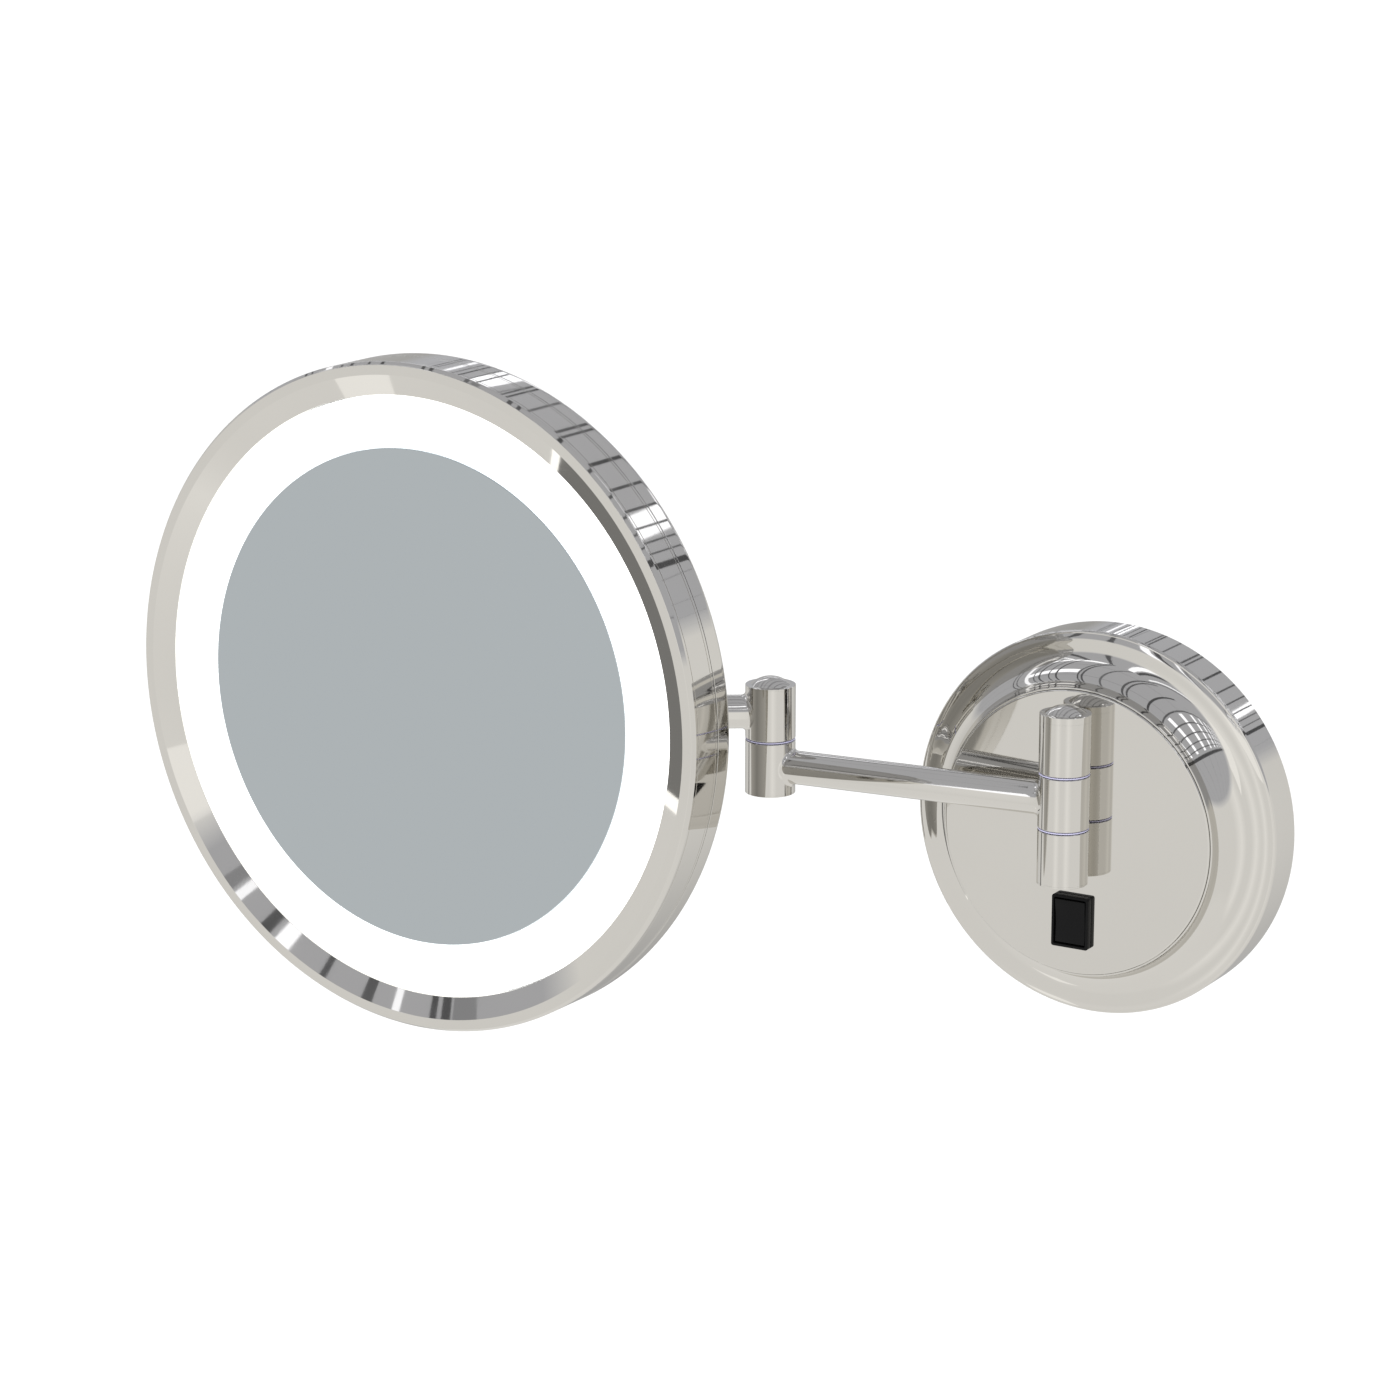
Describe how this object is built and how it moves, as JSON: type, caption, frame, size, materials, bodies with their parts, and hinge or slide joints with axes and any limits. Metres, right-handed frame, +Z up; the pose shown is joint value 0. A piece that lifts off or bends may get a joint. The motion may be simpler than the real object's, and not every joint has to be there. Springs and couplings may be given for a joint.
{
  "type": "extendable shaving mirror",
  "caption": "Wall-mounted round shaving mirror with an illuminated ring, on a jointed double arm with a round wall rosette and a rocker switch.",
  "frame": {"origin": "centre of the wall plate's back face, on the wall plane", "axes": "+Z up, +Y into the wall, so the room is on the -Y side; +X to the right seen from the room"},
  "size_m": [0.4164, 0.1702, 0.256],
  "materials": {
    "nickel": "polished nickel plate, warm tint",
    "steel": "zinc-plated steel",
    "aluminium": "mill-finish sheet",
    "nylon": "lavender-grey nylon bearing washer",
    "black_plastic": "fine-textured black",
    "white_plastic": "moulded housing",
    "opal": "opal acrylic, lit from behind",
    "mirror": "silvered glass",
    "rubber": "soft black",
    "wire": "black cable sheath",
    "board": "white solder mask"
  },
  "bodies": {
    "wall_unit": {"wall_plate": "steel", "cable_grommet": "rubber", "rosette_grub_screw": "steel", "rosette_shell": "nickel", "rosette_disc": "nickel", "post_upper": "nickel", "post_lower": "nickel", "post_screw_upper": "steel", "post_screw_lower": "steel", "post_cap_upper": "nickel", "post_cap_lower": "nickel", "post_pin": "steel", "post_washer_upper": "nylon", "post_washer_lower": "nylon", "switch_housing": "black_plastic", "led_driver": "white_plastic", "terminal_block": "white_plastic"},
    "switch_rocker": {"switch_rocker": "black_plastic"},
    "arm": {"arm_barrel": "nickel", "arm_tube": "nickel", "arm_wire": "wire", "knuckle_lower": "nickel", "knuckle_cap_lower": "nickel", "knuckle_pin": "steel", "knuckle_washer": "nylon"},
    "neck": {"knuckle_upper": "nickel", "knuckle_cap_upper": "nickel", "neck_tube": "nickel", "neck_wire": "wire", "swivel_lower": "nickel", "swivel_cap_lower": "nickel", "swivel_pin": "steel", "swivel_washer": "nylon"},
    "swivel": {"swivel_upper": "nickel", "swivel_cap_upper": "nickel"},
    "head": {"head_rim": "nickel", "back_cover": "nickel", "mirror_glass": "mirror", "light_diffuser": "opal", "mirror_carrier": "aluminium", "diffuser_seal": "rubber", "head_chassis": "aluminium", "lamp_board": "board", "tilt_bracket": "nickel", "tilt_pin": "steel", "tilt_nut": "steel", "cover_screw_1": "steel", "cover_screw_2": "steel", "cover_screw_3": "steel", "cover_screw_4": "steel", "bracket_screw_1": "steel", "bracket_screw_2": "steel", "bracket_screw_3": "steel", "bracket_screw_4": "steel"}
  },
  "joints": [
    {"name": "arm_swing", "type": "hinge", "parent": "wall_unit", "child": "arm", "pos_m": [0, -0.04385, 0.0153], "axis": [0, 0, 1], "range_deg": [-5, 140]},
    {"name": "knuckle_swing", "type": "hinge", "parent": "arm", "child": "neck", "pos_m": [-0.12032, -0.05565, 0.0259], "axis": [0, 0, 1], "range_deg": [-85, 30]},
    {"name": "head_swivel", "type": "hinge", "parent": "neck", "child": "swivel", "pos_m": [-0.21181, -0.1169, 0.0471], "axis": [0, 0, 1], "range_deg": [-100, 22]},
    {"name": "head_tilt", "type": "hinge", "parent": "swivel", "child": "head", "pos_m": [-0.21181, -0.1169, 0.0577], "axis": [0.9994, -0.0349, 0], "range_deg": [-20, 20]},
    {"name": "switch_rock", "type": "hinge", "parent": "wall_unit", "child": "switch_rocker", "pos_m": [0, -0.0348, -0.0344], "axis": [1, 0, 0], "range_deg": [-8, 0]}
  ]
}
